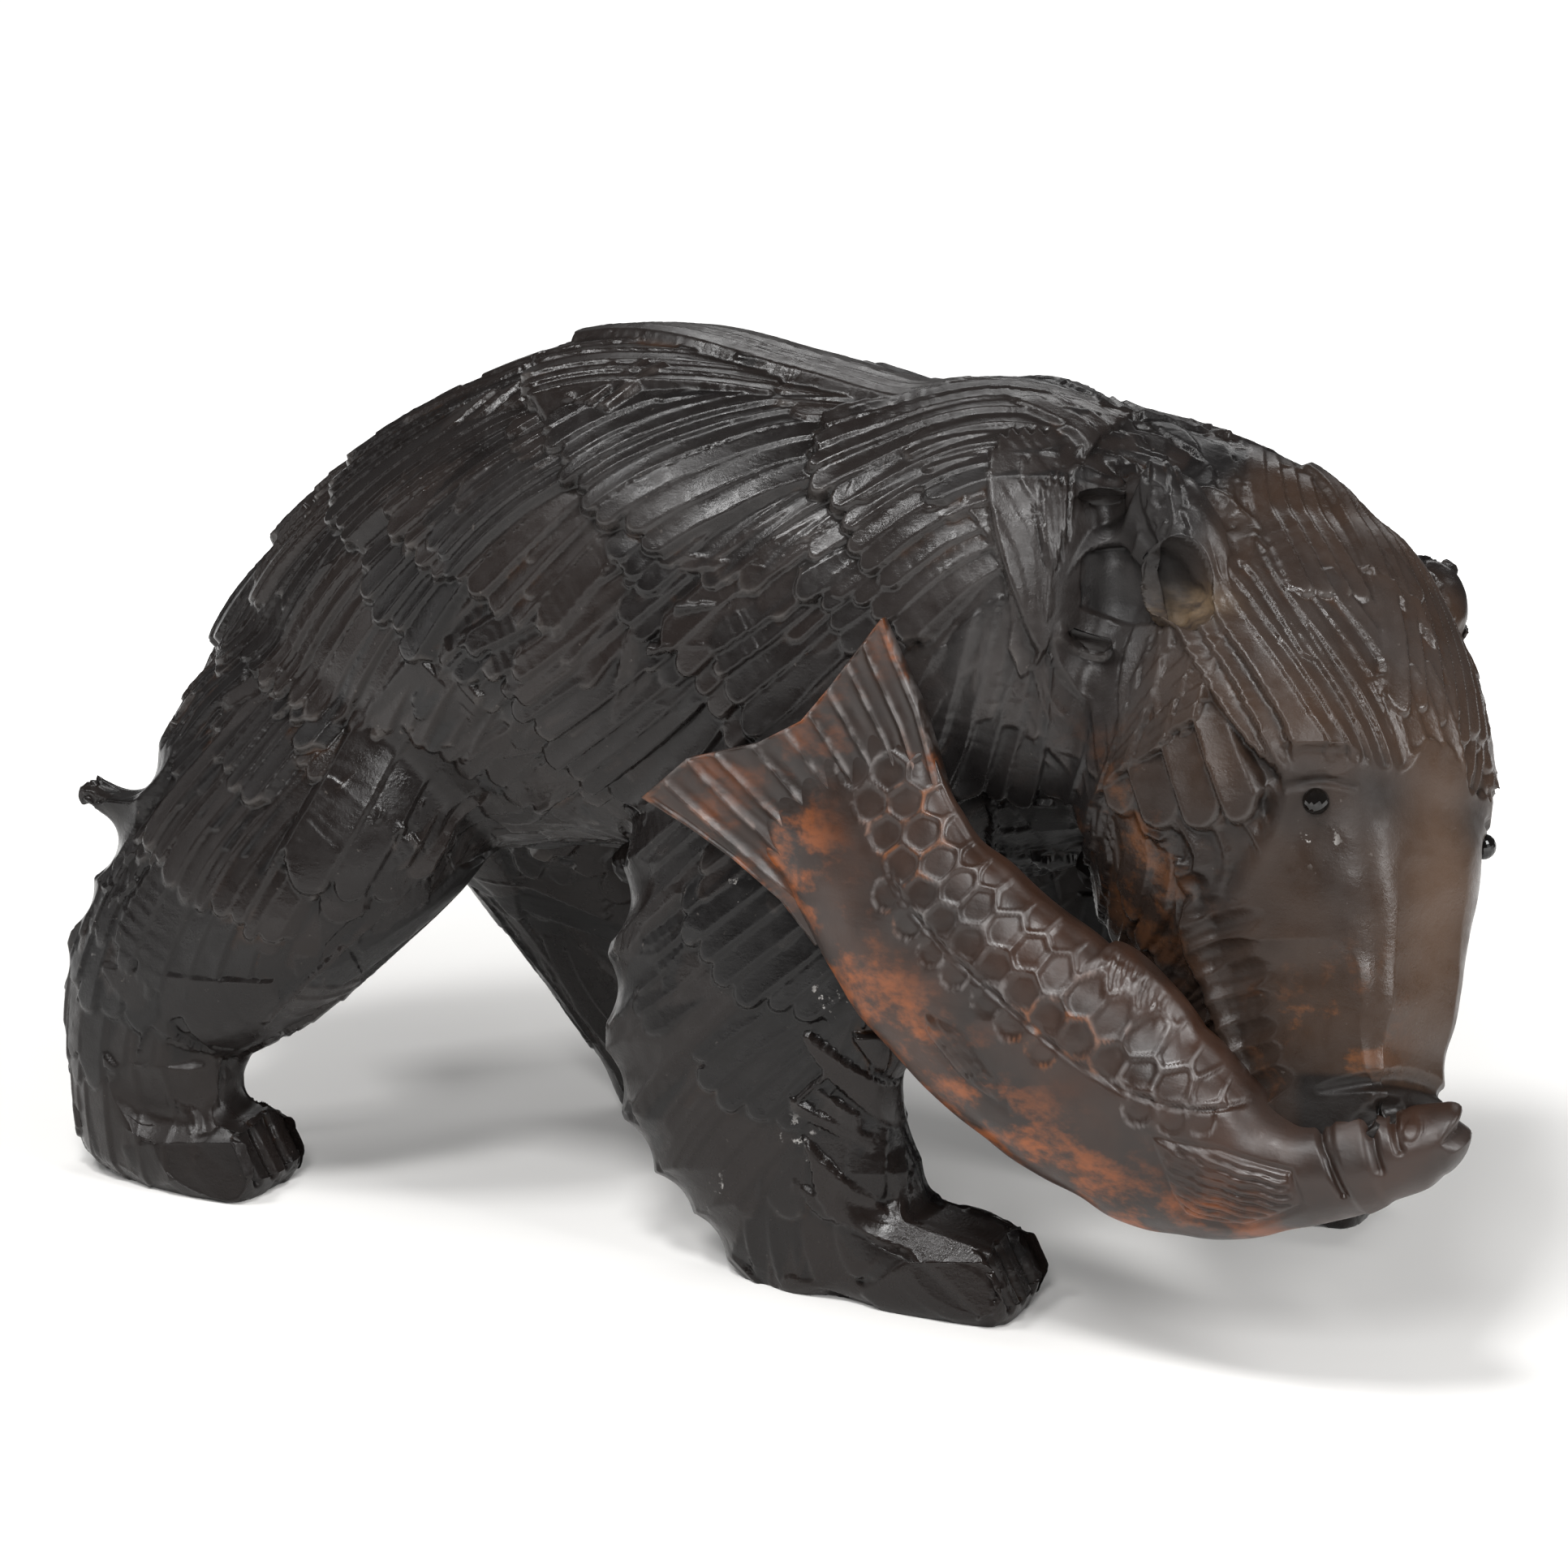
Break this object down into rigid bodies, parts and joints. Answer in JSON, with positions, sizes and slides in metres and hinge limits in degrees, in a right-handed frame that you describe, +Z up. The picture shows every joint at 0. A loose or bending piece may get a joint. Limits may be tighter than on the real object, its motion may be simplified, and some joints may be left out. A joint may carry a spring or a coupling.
{
  "type": "carved bear figurine",
  "caption": "Carved wooden bear walking with a salmon held crosswise in its mouth, one block of dark stained wood with inset glass bead eyes.",
  "frame": {"origin": "middle of the underside of the bounding box, at the level of the paws' soles", "axes": "+X the way the bear walks, +Y its left side, +Z up"},
  "size_m": [0.3434, 0.1364, 0.1998],
  "materials": {
    "stained_wood": "dark stained and waxed, with gouge cuts all over",
    "black_glass": "polished black glass",
    "eye_wire": "plain wire"
  },
  "bodies": {
    "root": {"carved_block": "stained_wood", "left_eye_bead": "black_glass", "left_eye_stem": "eye_wire", "right_eye_bead": "black_glass", "right_eye_stem": "eye_wire"}
  },
  "joints": []
}
